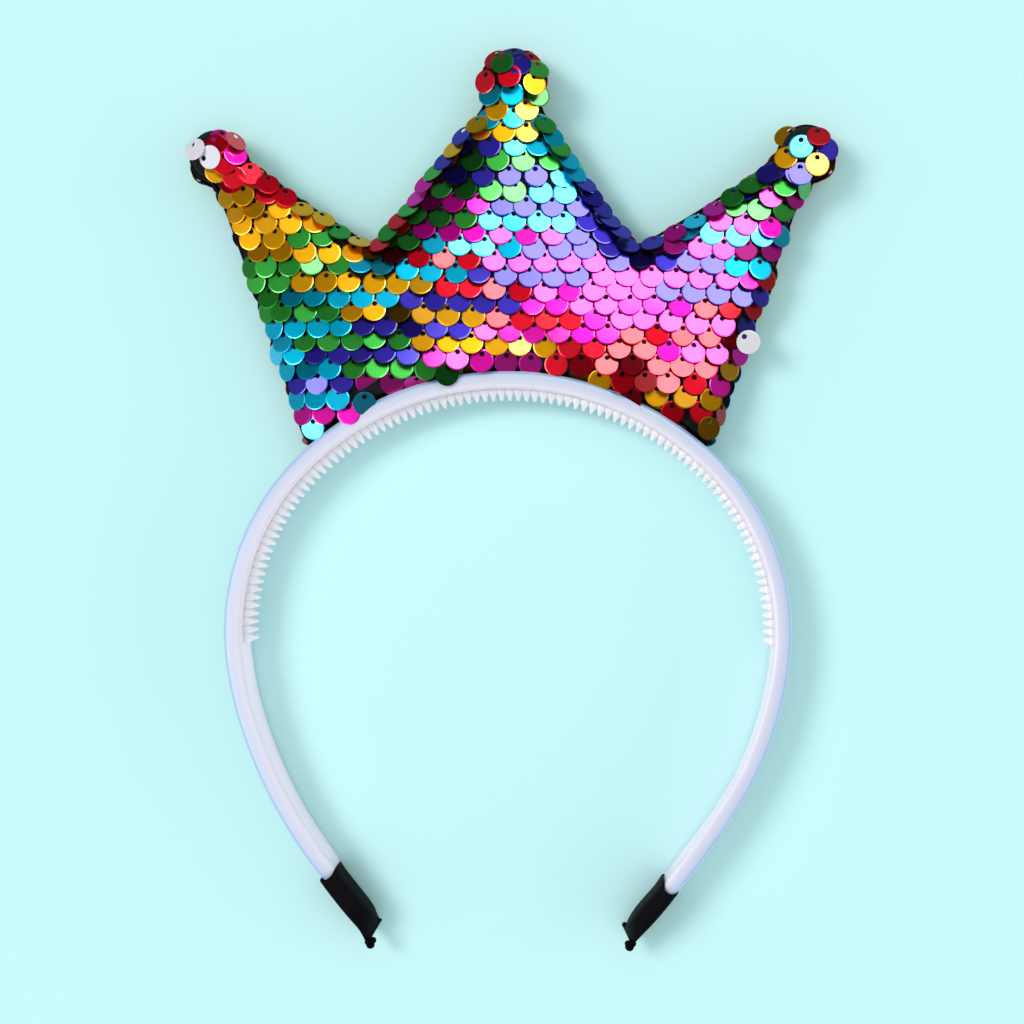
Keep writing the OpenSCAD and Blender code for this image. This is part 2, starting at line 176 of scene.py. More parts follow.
def smooth_copy(node, name, levels, sharp=None):
    """A copy of a CAD node's mesh with its loose triangles merged, in quads and subdivided.

    Edges whose ends both pass the test called sharp stay sharp."""
    bpy.ops.object.select_all(action="DESELECT")
    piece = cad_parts[node].copy()
    piece.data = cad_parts[node].data.copy()
    piece.parent = None
    piece.name = name
    # The frame's own marks stay with the CAD node.
    for tag in [t for t in piece.keys() if t.startswith("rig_")]:
        del piece[tag]
    bpy.context.scene.collection.objects.link(piece)
    piece.select_set(True)
    bpy.context.view_layer.objects.active = piece
    piece.data.materials.clear()
    bpy.ops.object.mode_set(mode="EDIT")
    bpy.ops.mesh.select_all(action="SELECT")
    bpy.ops.mesh.remove_doubles(threshold=0.00001)
    bpy.ops.mesh.tris_convert_to_quads(face_threshold=math.radians(40),
                                       shape_threshold=math.radians(70))
    bpy.ops.object.mode_set(mode="OBJECT")
    if sharp:
        crease = piece.data.attributes.new("crease_edge", "FLOAT", "EDGE")
        for edge, entry in zip(piece.data.edges, crease.data):
            entry.value = 1.0 if all(sharp(piece.data.vertices[i].co) for i in edge.vertices) else 0.0
    if levels:
        rounder = piece.modifiers.new("round", "SUBSURF")
        rounder.levels = levels
        rounder.render_levels = levels
        bpy.ops.object.modifier_apply(modifier="round")
    bpy.ops.object.shade_smooth_by_angle(angle=math.radians(40))
    return piece


BAND_THICK = 3.6 * MM
BAND_MIDDLE = Vector((0, -0.03, 0))
# The directions in which the left and the right limb end, and the length of their slimmer tips.
TIP_WAYS = [Vector((0.635, -0.773, 0)), Vector((-0.625, -0.780, 0))]
TIP_LENGTH = 10 * MM
# Subdividing rounds the band's edges and draws its walls in, which this makes good.
ROUNDING_LOSS = 0.12 * MM
band_corners = [v.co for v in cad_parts["band"].data.vertices]
tip_ends = [max(co.dot(way) for co in band_corners) for way in TIP_WAYS]


def past_shoulder(co):
    """How far a point lies past the step where the slimmer tip of the band starts."""
    limb = 0 if co.x < 0 else 1
    return co.dot(TIP_WAYS[limb]) - tip_ends[limb] + TIP_LENGTH


band = smooth_copy("band", "band_smooth", 2, lambda co: abs(past_shoulder(co)) < 0.1 * MM)
outer_wall = [p.vertices[:] for p in band.data.polygons
              if abs(p.normal.z) < 0.2 and p.normal.dot(p.center - BAND_MIDDLE) > 0]
outer_tree = BVHTree.FromPolygons([v.co for v in band.data.vertices], outer_wall)
depth = band.data.attributes.new("depth", "FLOAT", "POINT")
for vertex, entry in zip(band.data.vertices, depth.data):
    hit = outer_tree.find_nearest(vertex.co)[0]
    entry.value = math.hypot(hit.x - vertex.co.x, hit.y - vertex.co.y) / BAND_THICK
bpy.ops.object.mode_set(mode="EDIT")
bpy.ops.mesh.select_mode(type="VERT")
bpy.ops.mesh.select_all(action="DESELECT")
bpy.ops.object.mode_set(mode="OBJECT")
# The tips inside the sleeves stay as slim as they are.
for vertex in band.data.vertices:
    vertex.select = past_shoulder(vertex.co) < 0.02 * MM
bpy.ops.object.mode_set(mode="EDIT")
bpy.ops.transform.shrink_fatten(value=ROUNDING_LOSS)
bpy.ops.object.mode_set(mode="OBJECT")
band_plastic = new_material("white_lavender_abs")
# Moulded ABS: a cool white with an even soft gloss and faint flow marks. The colour is set by
# distance from the outer wall and holds painted light: a blue line along the outer edge is a painted
# reflection of the cyan card, and towards the inner wall the white turns paler and pinker, near white
# on the inner face, as painted light against the shade and the card's cyan there. Its paler line
# along the inner edge is a painted highlight.
band_depth = add_node(band_plastic, "ShaderNodeAttribute", {"attribute_name": "depth"})
band_painted_tones = add_node(band_plastic, "ShaderNodeValToRGB", Fac=band_depth.outputs["Fac"])
# Stops by distance from the outer wall, as a share of the band's thickness. The blue stops near 0.08
# to 0.15 are the painted reflection, and those from 0.80 on are the painted light and highlight at
# the inner face.
BAND_TONES_AND_PAINTED_LIGHT = [(0.0, "#C6CBD3"), (0.055, "#C8CFDC"), (0.08, "#9BBDE9"), (0.15, "#A3C3EC"),
              (0.22, "#C3CBE4"), (0.45, "#D0D2E5"), (0.70, "#DAD8E8"), (0.80, "#E3DCEA"),
              (0.94, "#E6E0ED"), (0.985, "#FFEDF8")]
stops = band_painted_tones.color_ramp.elements
while len(stops) < len(BAND_TONES_AND_PAINTED_LIGHT):
    stops.new(1.0)
for stop, (place, tone) in zip(stops, BAND_TONES_AND_PAINTED_LIGHT):
    stop.position = place
    stop.color = linear(tone)
band_place = add_node(band_plastic, "ShaderNodeTexCoord")
flow = add_node(band_plastic, "ShaderNodeTexNoise", Vector=band_place.outputs["Object"],
                Scale=160.0, Detail=4.0)
flow_marks = add_node(band_plastic, "ShaderNodeBump", Height=flow.outputs["Fac"], Strength=0.12,
                      Distance=0.0002)
finish_material(band_plastic, add_node(
    band_plastic, "ShaderNodeBsdfPrincipled", Base_Color=band_painted_tones.outputs["Color"],
    Roughness=0.38, Normal=flow_marks.outputs[0],
    Subsurface_Weight=0.35, Subsurface_Radius=(1.0, 1.0, 1.0), Subsurface_Scale=0.0025, IOR=1.5))
band.data.materials.append(band_plastic)
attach(band, "root")
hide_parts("band")

# The comb strip is a separate moulding of clear-white plastic glued along the inside of the band.
# Its short wedge teeth grip the hair.

# The solid teeth end in small upright faces, which give their places and directions.
comb_guide = smooth_copy("comb_strip", "comb_guide", 0)
tips = [(p.center.copy(), p.normal.copy()) for p in comb_guide.data.polygons
        if abs(p.normal.z) < 0.3 and 0.6 < p.area / MM ** 2 < 0.8]
bpy.data.objects.remove(comb_guide)
# A tooth's root: half width, half height and distance in mm. Then its rings, from there to its
# rounded tip: [distance, half width, half height] in mm.
TOOTH_ROOT = (1.06, 2.5, 0.0)
TOOTH = [[0.6, 1.08, 2.5], [1.1, 1.05, 2.4], [1.3, 0.86, 2.25], [1.45, 0.70, 2.1],
         [1.7, 0.57, 1.9], [2.0, 0.46, 1.6], [2.3, 0.38, 1.3], [2.5, 0.28, 1.05],
         [2.62, 0.12, 0.85]]
bpy.ops.object.select_all(action="DESELECT")
bpy.ops.mesh.primitive_plane_add(size=1, location=(0, 0, 0))
tooth = bpy.context.object
tooth.name = "tooth"
bpy.ops.object.mode_set(mode="EDIT")
bpy.ops.mesh.select_all(action="SELECT")
bpy.ops.mesh.bevel(offset=0.16, segments=3, affect="VERTICES")
width, height, place = TOOTH_ROOT
bpy.ops.transform.resize(value=(2 * width * MM, 2 * height * MM, 1))
for far, half_w, half_h in TOOTH:
    bpy.ops.mesh.extrude_region_move(TRANSFORM_OT_translate={"value": (0, 0, (far - place) * MM)})
    bpy.ops.transform.resize(value=(half_w / width, half_h / height, 1))
    width, height, place = half_w, half_h, far
bpy.ops.object.mode_set(mode="OBJECT")
bpy.ops.object.shade_smooth()
# Each root is set this far back from the tip of the strip's solid tooth. The teeth reach a little
# further on the left than on the right.
ROOT_BACK = 2.36 * MM
REACH_CHANGE = 0.13
HALF_SPAN = 55 * MM
bpy.ops.object.select_all(action="DESELECT")
for centre, way in tips:
    flat = Vector((way.x, way.y, 0)).normalized()
    along = Vector((0, 0, 1)).cross(flat)
    reach = 1 - REACH_CHANGE * centre.x / HALF_SPAN
    turned = Matrix((along, Vector((0, 0, 1)), flat * reach)).transposed().to_4x4()
    one = tooth.copy()
    one.data = tooth.data.copy()
    one.data.transform(Matrix.Translation(centre - flat * ROOT_BACK) @ turned)
    bpy.context.scene.collection.objects.link(one)
    one.select_set(True)
    bpy.context.view_layer.objects.active = one
bpy.ops.object.join()
comb = bpy.context.object
comb.name = "comb_teeth"
bpy.data.objects.remove(tooth)
comb_plastic = new_material("milky_polypropylene")
# Milky polypropylene: white and soft-looking, as light spreads inside the teeth.
comb_place = add_node(comb_plastic, "ShaderNodeTexCoord")
cloud = add_node(comb_plastic, "ShaderNodeTexNoise", Vector=comb_place.outputs["Object"],
                 Scale=220.0, Detail=2.0)
cloudy = add_node(comb_plastic, "ShaderNodeValToRGB", Fac=cloud.outputs["Fac"])
cloudy.color_ramp.elements[0].color = linear("#EEE9F1")
cloudy.color_ramp.elements[1].color = linear("#FAF5FA")
finish_material(comb_plastic, add_node(
    comb_plastic, "ShaderNodeBsdfPrincipled", Base_Color=cloudy.outputs["Color"], Roughness=0.35,
    Subsurface_Weight=0.5, Subsurface_Radius=(1.0, 1.0, 1.0), Subsurface_Scale=0.0012, IOR=1.49))
comb.data.materials.append(comb_plastic)
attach(comb, "root")
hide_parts("comb_strip")

# Each tip of the band wears a sleeve of black grosgrain ribbon, wrapped round, glued and squeezed
# flat and sealed with heat at its end.
sleeve_cloth = new_material("black_grosgrain")
# Woven grosgrain: fine cross ribs, 0.37 mm apart, with a dull silky sheen and a little fluff.
rib_way = add_node(sleeve_cloth, "ShaderNodeAttribute", {"attribute_name": "along"})
rib_line = add_node(sleeve_cloth, "ShaderNodeCombineXYZ", X=rib_way.outputs["Fac"])
ribs = add_node(sleeve_cloth, "ShaderNodeTexWave", {"bands_direction": "X"},
                Vector=rib_line.outputs[0], Scale=0.85, Distortion=0.6, Detail=1.0)
sleeve_place = add_node(sleeve_cloth, "ShaderNodeTexCoord")
fluff = add_node(sleeve_cloth, "ShaderNodeTexNoise", Vector=sleeve_place.outputs["Object"],
                 Scale=2600.0, Detail=3.0)
rib_height = add_node(sleeve_cloth, "ShaderNodeMath", {"operation": "MULTIPLY"},
                      _0=ribs.outputs["Fac"], _1=fluff.outputs["Fac"])
rib_dents = add_node(sleeve_cloth, "ShaderNodeBump", Height=rib_height.outputs[0], Strength=0.6,
                     Distance=0.0001)
rib_tones = add_node(sleeve_cloth, "ShaderNodeValToRGB", Fac=rib_height.outputs[0])
rib_tones.color_ramp.elements[0].color = linear("#060507")
rib_tones.color_ramp.elements[1].color = linear("#1E1C21")
finish_material(sleeve_cloth, add_node(
    sleeve_cloth, "ShaderNodeBsdfPrincipled", Base_Color=rib_tones.outputs["Color"],
    Roughness=0.5, Normal=rib_dents.outputs[0], Specular_IOR_Level=0.02))
PICTURE = 1024
FOCAL = LENS / SENSOR * PICTURE


def toward(x, y):
    """The direction from the camera through a point of the picture, in pixels."""
    return (look.normalized() + sideways * (x - PICTURE / 2) / FOCAL
            - upwards * (y - PICTURE / 2) / FOCAL)


def at_height(x, y, height):
    """The point at a height in mm that shows at a point of the picture, in pixels."""
    way = toward(x, y)
    return camera.location + way * ((height * MM - camera.location.z) / way.z)


# Rings along each sleeve, from the mouth to the seal.
# [outer edge x, y and inner edge x, y in pixels of the picture; then heights in mm: the outer
#  edge's low and high side, the inner edge's low and high side]
SLEEVES = {
    "left": [
        [318.8, 880.0, 342.5, 858.8, 0.1, 10.1, 0.1, 10.1],
        [320.0, 882.2, 343.8, 861.0, 0.1, 10.1, 0.1, 10.1],
        [325.0, 889.0, 347.5, 866.5, 0.1, 10.1, 0.1, 10.1],
        [331.9, 898.1, 354.4, 875.4, 0.1, 10.1, 0.1, 10.1],
        [339.4, 907.5, 361.9, 884.8, 0.1, 10.1, 0.1, 10.1],
        [346.3, 916.0, 369.4, 894.4, 0.1, 9.9, 0.1, 9.7],
        [353.1, 923.5, 375.3, 902.5, 0.4, 9.1, 0.3, 8.0],
        [358.8, 929.8, 377.3, 908.8, 1.0, 8.7, 0.4, 6.5],
        [361.9, 934.4, 379.0, 914.4, 2.2, 8.2, 0.5, 4.6],
        [365.0, 939.8, 380.6, 918.0, 4.6, 7.2, 0.6, 2.6],
        [367.5, 943.0, 382.0, 919.6, 5.6, 6.5, 0.8, 1.8],
        [368.3, 944.2, 381.4, 920.8, 6.0, 6.0, 1.3, 1.3]],
    "right": [
        [679.4, 892.5, 661.9, 871.3, 0.1, 10.1, 0.1, 10.1],
        [678.2, 894.6, 659.8, 873.6, 0.1, 10.1, 0.1, 10.1],
        [672.5, 901.9, 655.0, 881.5, 0.1, 10.1, 0.1, 10.1],
        [665.0, 911.3, 647.5, 889.8, 0.1, 10.1, 0.1, 10.1],
        [657.5, 920.0, 640.0, 898.1, 0.1, 10.1, 0.1, 10.1],
        [650.0, 928.1, 632.6, 907.3, 0.1, 9.9, 0.1, 9.7],
        [643.1, 935.0, 627.6, 916.3, 0.5, 9.0, 0.3, 7.6],
        [638.8, 939.2, 626.0, 921.9, 1.4, 8.6, 0.4, 5.6],
        [635.2, 942.5, 624.2, 924.6, 3.6, 7.6, 0.5, 3.4],
        [633.0, 944.6, 622.4, 925.2, 5.4, 6.8, 0.9, 2.1],
        [631.6, 946.0, 622.9, 926.4, 6.0, 6.0, 1.4, 1.4]],
}
# How far the middle of each mouth is cut back, in mm, and the lumps of melted ribbon at the ends of
# the seal: x, y in pixels, height and radius in mm.
MOUTH_BOW = {"left": 0.8, "right": 1.4}
LUMPS = {
    "left": [(370.4, 944.4, 6.2, 0.95), (373.0, 940.2, 5.6, 0.75), (368.2, 941.8, 6.0, 0.8),
             (380.6, 919.6, 1.3, 0.32)],
    "right": [(629.6, 946.6, 6.2, 1.0), (631.9, 943.4, 6.0, 0.95), (627.8, 943.6, 5.4, 0.7),
              (624.6, 924.6, 1.4, 0.6)],
}
AROUND = 24
# Below 1, this power makes the ribbon's round section squarer, like the band inside it.
SQUARENESS = 0.55
RIBBON_THICK = 0.35 * MM
for side in ("left", "right"):
    rings = SLEEVES[side]
    bpy.ops.object.select_all(action="DESELECT")
    bpy.ops.mesh.primitive_grid_add(x_subdivisions=AROUND, y_subdivisions=len(rings) - 1, size=1,
                                    location=(0, 0, 0))
    sleeve = bpy.context.object
    sleeve.name = "sleeve_ribbon_" + side
    along = sleeve.data.attributes.new("along", "FLOAT", "POINT")
    far = 0.0
    middles = []
    for j, (ox, oy, ix, iy, out_low, out_high, in_low, in_high) in enumerate(rings):
        outer = at_height(ox, oy, out_high * 0.8)
        inner = at_height(ix, iy, in_low)
        middles.append((outer + inner) / 2)
        if j:
            far += (middles[j] - middles[j - 1]).length
        onward = (at_height(rings[4][0], rings[4][1], 5) - at_height(ox, oy, 5)).normalized()
        for k in range(AROUND + 1):
            angle = 2 * math.pi * k / AROUND
            across = math.copysign(abs(math.cos(angle)) ** SQUARENESS, math.cos(angle))
            high = math.copysign(abs(math.sin(angle)) ** SQUARENESS, math.sin(angle))
            share = (across + 1) / 2
            low_z = (in_low + (out_low - in_low) * share) * MM
            high_z = (in_high + (out_high - in_high) * share) * MM
            spot = inner + (outer - inner) * share
            spot.z = (low_z + high_z) / 2 + (high_z - low_z) / 2 * high
            if j < 2:
                spot += onward * MOUTH_BOW[side] * MM * (1 - across ** 2) * max(0, high)
            vertex = j * (AROUND + 1) + k
            sleeve.data.vertices[vertex].co = spot
            along.data[vertex].value = far / MM
    bpy.ops.object.mode_set(mode="EDIT")
    bpy.ops.mesh.select_all(action="SELECT")
    bpy.ops.mesh.remove_doubles(threshold=0.00001)
    bpy.ops.mesh.normals_make_consistent(inside=False)
    bpy.ops.object.mode_set(mode="OBJECT")
    wall = sleeve.modifiers.new("wall", "SOLIDIFY")
    wall.thickness = RIBBON_THICK
    wall.offset = -1
    bpy.ops.object.modifier_apply(modifier="wall")
    rounder = sleeve.modifiers.new("round", "SUBSURF")
    rounder.levels = 2
    rounder.render_levels = 2
    bpy.ops.object.modifier_apply(modifier="round")
    for x, y, height, radius in LUMPS[side]:
        bpy.ops.mesh.primitive_uv_sphere_add(segments=14, ring_count=8, radius=radius * MM,
                                             location=at_height(x, y, height))
        lump = bpy.context.object
        bpy.ops.object.transform_apply(location=True, rotation=True, scale=True)
        lump.data.attributes.new("along", "FLOAT", "POINT")
        sleeve.select_set(True)
        bpy.context.view_layer.objects.active = sleeve
        bpy.ops.object.join()
    bpy.ops.object.shade_smooth()
    sleeve.data.materials.append(sleeve_cloth)
    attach(sleeve, "root")
    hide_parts("sleeve_" + side)

# Under the sequins the crown's two panels are black stretch knit, sewn together along the outline
# and stuffed. The knit shows in the gaps and where a sequin is turned over.
knit = new_material("black_knit")
# Stretch knit: matt black with fine upright ribs, broken up by its stitches.
knit_place = add_node(knit, "ShaderNodeTexCoord")
wales = add_node(knit, "ShaderNodeTexWave", {"bands_direction": "X"},
                 Vector=knit_place.outputs["Object"], Scale=520.0, Distortion=1.5, Detail=2.0,
                 Detail_Scale=3.0)
knit_dents = add_node(knit, "ShaderNodeBump", Height=wales.outputs["Fac"], Strength=0.5,
                      Distance=0.0001)
knit_tones = add_node(knit, "ShaderNodeValToRGB", Fac=wales.outputs["Fac"])
knit_tones.color_ramp.elements[0].color = linear("#070608")
knit_tones.color_ramp.elements[1].color = linear("#17141A")
finish_material(knit, add_node(
    knit, "ShaderNodeBsdfPrincipled", Base_Color=knit_tones.outputs["Color"], Roughness=0.85,
    Normal=knit_dents.outputs[0], Specular_IOR_Level=0.2))


class Skin:
    """A panel's surface: where a line meets it or what is nearest, with the smooth normal there."""

    def __init__(self, mesh):
        self.points = [v.co.copy() for v in mesh.vertices]
        self.normals = [v.normal.copy() for v in mesh.vertices]
        self.faces = [p.vertices[:] for p in mesh.polygons]
        self.tree = BVHTree.FromPolygons(self.points, self.faces)

    def smooth(self, hit, index):
        corners = self.faces[index]
        shares = poly_3d_calc([self.points[i] for i in corners], hit)
        total = Vector((0, 0, 0))
        for i, share in zip(corners, shares):
            total += self.normals[i] * share
        return total.normalized()

    def along(self, start, way):
        hit, _, index, _ = self.tree.ray_cast(start, way)
        return None if hit is None else (hit, self.smooth(hit, index))

    def normal_near(self, spot):
        hit, _, index, _ = self.tree.find_nearest(spot)
        return self.smooth(hit, index)


def rim_of(mesh):
    """The open edge of a panel, as points in order."""
    uses = {}
    for face in mesh.polygons:
        for key in face.edge_keys:
            uses[key] = uses.get(key, 0) + 1
    beside = {}
    for (a, b), count in uses.items():
        if count == 1:
            beside.setdefault(a, []).append(b)
            beside.setdefault(b, []).append(a)
    start = max(beside, key=lambda i: mesh.vertices[i].co.y)
    loop = [start]
    while True:
        onward = [i for i in beside[loop[-1]] if i not in loop[-2:]]
        if not onward or onward[0] == start:
            return [mesh.vertices[i].co.copy() for i in loop]
        loop.append(onward[0])


SEQUIN_LAYER = 0.8 * MM
KNIT_THICK = 0.5 * MM
skins = {}
for side, facing in (("front", 1), ("back", -1)):
    panel = smooth_copy("crown_" + side, "knit_" + side, 0)
    bpy.ops.object.mode_set(mode="EDIT")
    bpy.ops.mesh.select_mode(type="FACE")
    bpy.ops.mesh.select_all(action="DESELECT")
    bpy.ops.object.mode_set(mode="OBJECT")
    for face in panel.data.polygons:
        face.select = face.normal.z * facing < -0.02
    bpy.ops.object.mode_set(mode="EDIT")
    bpy.ops.mesh.delete(type="FACE")
    bpy.ops.mesh.select_all(action="SELECT")
    bpy.ops.transform.shrink_fatten(value=-SEQUIN_LAYER)
    bpy.ops.object.mode_set(mode="OBJECT")
    rounder = panel.modifiers.new("round", "SUBSURF")
    rounder.levels = 1
    rounder.render_levels = 1
    bpy.ops.object.modifier_apply(modifier="round")
    skins[side] = Skin(panel.data)
    seam_line = rim_of(panel.data)
    wall = panel.modifiers.new("wall", "SOLIDIFY")
    wall.thickness = KNIT_THICK
    wall.offset = -1
    bpy.ops.object.modifier_apply(modifier="wall")
    panel.data.materials.append(knit)
    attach(panel, "root")
    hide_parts("crown_" + side)

# Between the panels is loose white polyester wadding. It fills the crown out and would only show if
# a seam opened.
wadding = new_material("polyester_wadding")
# Fine crimped fibres, matted together.
wadding_place = add_node(wadding, "ShaderNodeTexCoord")
fibres = add_node(wadding, "ShaderNodeTexNoise", Vector=wadding_place.outputs["Object"],
                  Scale=700.0, Detail=6.0, Distortion=2.0)
fibre_tones = add_node(wadding, "ShaderNodeValToRGB", Fac=fibres.outputs["Fac"])
fibre_tones.color_ramp.elements[0].color = linear("#D9D8D4")
fibre_tones.color_ramp.elements[1].color = linear("#F7F6F2")
fibre_dents = add_node(wadding, "ShaderNodeBump", Height=fibres.outputs["Fac"], Strength=0.7,
                       Distance=0.0004)
finish_material(wadding, add_node(
    wadding, "ShaderNodeBsdfPrincipled", Base_Color=fibre_tones.outputs["Color"], Roughness=0.95,
    Normal=fibre_dents.outputs[0]))
padding = smooth_copy("crown_padding", "wadding_core", 0)
padding.data.materials.append(wadding)
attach(padding, "root")
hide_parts("crown_padding")

# The sequins are flat discs of metallised film, punched with one hole near the edge and chain-
# stitched to the knit in rows, so that they hang by the hole and each row laps over the one below.
SEQUIN_R = 2.53 * MM
SEQUIN_THICK = 0.09 * MM
# The edge is pressed down a little in a narrow band, and a flat step follows inside it.
RIM_W = 0.24 * MM
RIM_DROP = 0.035 * MM
STEP_W = 0.15 * MM
HOLE_R = 0.58 * MM
HOLE_UP = 1.47 * MM

bpy.ops.object.select_all(action="DESELECT")
bpy.ops.mesh.primitive_circle_add(vertices=20, radius=SEQUIN_R, fill_type="NGON",
                                  location=(0, 0, 0))
sequin = bpy.context.object
sequin.name = "sequin"
bpy.ops.object.mode_set(mode="EDIT")
bpy.ops.mesh.select_mode(type="FACE")
bpy.ops.mesh.select_all(action="SELECT")
bpy.ops.mesh.extrude_region_move(
    TRANSFORM_OT_translate={"value": (0, 0, SEQUIN_THICK - RIM_DROP)})
bpy.ops.mesh.inset(thickness=RIM_W, depth=0)
bpy.ops.transform.translate(value=(0, 0, RIM_DROP))
bpy.ops.mesh.inset(thickness=STEP_W, depth=0)
bpy.ops.mesh.inset(thickness=SEQUIN_R - RIM_W - STEP_W - HOLE_R, depth=0)
bpy.ops.transform.translate(value=(0, HOLE_UP, 0))
bpy.ops.mesh.extrude_region_move(TRANSFORM_OT_translate={"value": (0, 0, -SEQUIN_THICK)})
bpy.ops.mesh.delete(type="FACE")
bpy.ops.mesh.select_all(action="SELECT")
bpy.ops.transform.translate(value=(0, -HOLE_UP, 0))
bpy.ops.mesh.select_all(action="DESELECT")
bpy.ops.object.mode_set(mode="OBJECT")
for face in sequin.data.polygons:
    face.select = len(face.vertices) > 4
bpy.ops.object.mode_set(mode="EDIT")
bpy.ops.mesh.delete(type="FACE")
bpy.ops.object.mode_set(mode="OBJECT")

FOILS = {
    "gold": "#FFB60C", "green": "#38AA3F", "cyan": "#03CCF8", "indigo": "#362BB1",
    "magenta": "#ED0FB2", "red": "#EA0C27",
}

foil = new_material("metallised_film")
# Metallised polyester film: a coloured, finely embossed mirror under a smooth clear lacquer.
place_on_cloth = add_node(foil, "ShaderNodeTexCoord")
emboss_x = add_node(foil, "ShaderNodeTexWave", {"bands_direction": "X"},
                    Vector=place_on_cloth.outputs["Object"], Scale=700.0)
emboss_y = add_node(foil, "ShaderNodeTexWave", {"bands_direction": "Y"},
                    Vector=place_on_cloth.outputs["Object"], Scale=700.0)
emboss = add_node(foil, "ShaderNodeMath", {"operation": "MULTIPLY"},
                  _0=emboss_x.outputs["Fac"], _1=emboss_y.outputs["Fac"])
dents = add_node(foil, "ShaderNodeBump", Height=emboss.outputs[0], Strength=0.25, Distance=0.00002)
# The colour attribute holds each sequin's foil colour times its painted shade, and in its alpha the
# lacquer's gloss, which is cut on sequins with painted shade.
foil_tint_and_shade = add_node(foil, "ShaderNodeAttribute", {"attribute_name": "foil"})
finish_material(foil, add_node(
    foil, "ShaderNodeBsdfPrincipled", Base_Color=foil_tint_and_shade.outputs["Color"], Metallic=1.0,
    Roughness=0.34, Normal=dents.outputs[0],
    Coat_Weight=foil_tint_and_shade.outputs["Alpha"], Coat_Roughness=0.1, Coat_IOR=1.6))

reverse = new_material("film_reverse")
# The film's other face: a matt white print, faintly mottled.
reverse_place = add_node(reverse, "ShaderNodeTexCoord")
mottle = add_node(reverse, "ShaderNodeTexNoise", Vector=reverse_place.outputs["Object"],
                  Scale=900.0, Detail=3.0)
mottled = add_node(reverse, "ShaderNodeValToRGB", Fac=mottle.outputs["Fac"])
mottled.color_ramp.elements[0].color = linear("#C6C1CA")
mottled.color_ramp.elements[1].color = linear("#E2DDE3")
finish_material(reverse, add_node(
    reverse, "ShaderNodeBsdfPrincipled", Base_Color=mottled.outputs["Color"], Roughness=0.45))

# The stitches' distance along a row, how near the cloth's edge a row ends, and the gap at the end of
# a row that takes one sequin more.
PITCH = 5.25 * MM
EDGE = 2.2 * MM
SPARE = 3.4 * MM


def seen(x, y):
    """The place on the crown's front that shows at a point of the picture, in pixels."""
    return skins["front"].along(camera.location, toward(x, y))


def spaced(run, anchors):
    """Places about a pitch apart along a run of (x, point, normal), through the anchors' x."""
    lengths = [0.0]
    for a, b in zip(run, run[1:]):
        lengths.append(lengths[-1] + (b[1] - a[1]).length)
    fixed = []
    for anchor in anchors:
        nearest = min(range(len(run)), key=lambda i: abs(run[i][0] - anchor))
        if abs(run[nearest][0] - anchor) < 1.0:
            fixed.append(lengths[nearest])
    if not fixed:
        fixed = [lengths[-1] / 2]
    wanted = [fixed[0]]
    for a, b in zip(fixed, fixed[1:]):
        gaps = max(1, round((b - a) / PITCH))
        wanted += [a + (b - a) * i / gaps for i in range(1, gaps + 1)]
    while wanted[0] - PITCH > EDGE * 0.8:
        wanted.insert(0, wanted[0] - PITCH)
    while wanted[-1] + PITCH < lengths[-1] - EDGE * 0.8:
        wanted.append(wanted[-1] + PITCH)
    if wanted[0] > EDGE + SPARE:
        wanted.insert(0, EDGE)
    if wanted[-1] < lengths[-1] - EDGE - SPARE:
        wanted.append(lengths[-1] - EDGE)
    places = []
    for i, place in enumerate(run):
        if wanted and lengths[i] >= wanted[0]:
            places.append(place)
            wanted.pop(0)
    return places


def runs_of(row):
    """The runs of (x, point, normal) of a row that lie on the cloth.

    The row is pairs of an x and what is hit there, None where it misses the cloth."""
    runs = [[]]
    for x, hit in row:
        if hit is None:
            if runs[-1]:
                runs.append([])
        else:
            runs[-1].append((x, hit[0], hit[1]))
    return [run for run in runs if len(run) > 8]


def upright(normal, turn, rise=Vector((0, 1, 0))):
    """The two directions across and up a disc that hangs on a face, turned in degrees."""
    up = rise - normal * normal.dot(rise)
    up.normalize()
    up.rotate(Quaternion(normal, math.radians(turn)))
    return up.cross(normal), up


def lying(skin, point, normal, turn, rise):
    """How a flat disc lies: by the mean of the skin's normals under it."""
    right, up = upright(normal, turn, rise)
    mean = normal.copy()
    for across, along in ((0, -1.5), (0, -3.0), (-1.7, -1.5), (1.7, -1.5)):
        mean += skin.normal_near(point + right * across * MM + up * along * MM)
    return mean.normalized()


# The cloth is striped slantwise. Even rows lean one way and odd rows the other.
# [edge between two foils on the row of the first number, in pixels, and its shift per row up]
EVEN_STRIPES = [["cyan", 238, -28], ["green", 350, -28], ["gold", 490, -28], ["red", 590, -30],
                ["magenta", 722, -28], ["indigo", 840, -28], ["cyan", 950, -28], ["green", 1070, -28]]
ODD_STRIPES = [["red", -80, 31], ["gold", 38, 31], ["green", 172, 30], ["cyan", 300, 27],
               ["indigo", 410, 30], ["magenta", 545, 35], ["red", 718, 35], ["gold", 835, 35],
               ["green", 2000, 35]]


def foil_of(row, x):
    """The foil of the stripe that a row crosses at a place, in pixels of the picture."""
    stripes, first = (EVEN_STRIPES, 6) if row % 2 == 0 else (ODD_STRIPES, 3)
    for name, edge, shift in stripes:
        if x < edge + shift * (row - first):
            return name
    return stripes[-1][0]


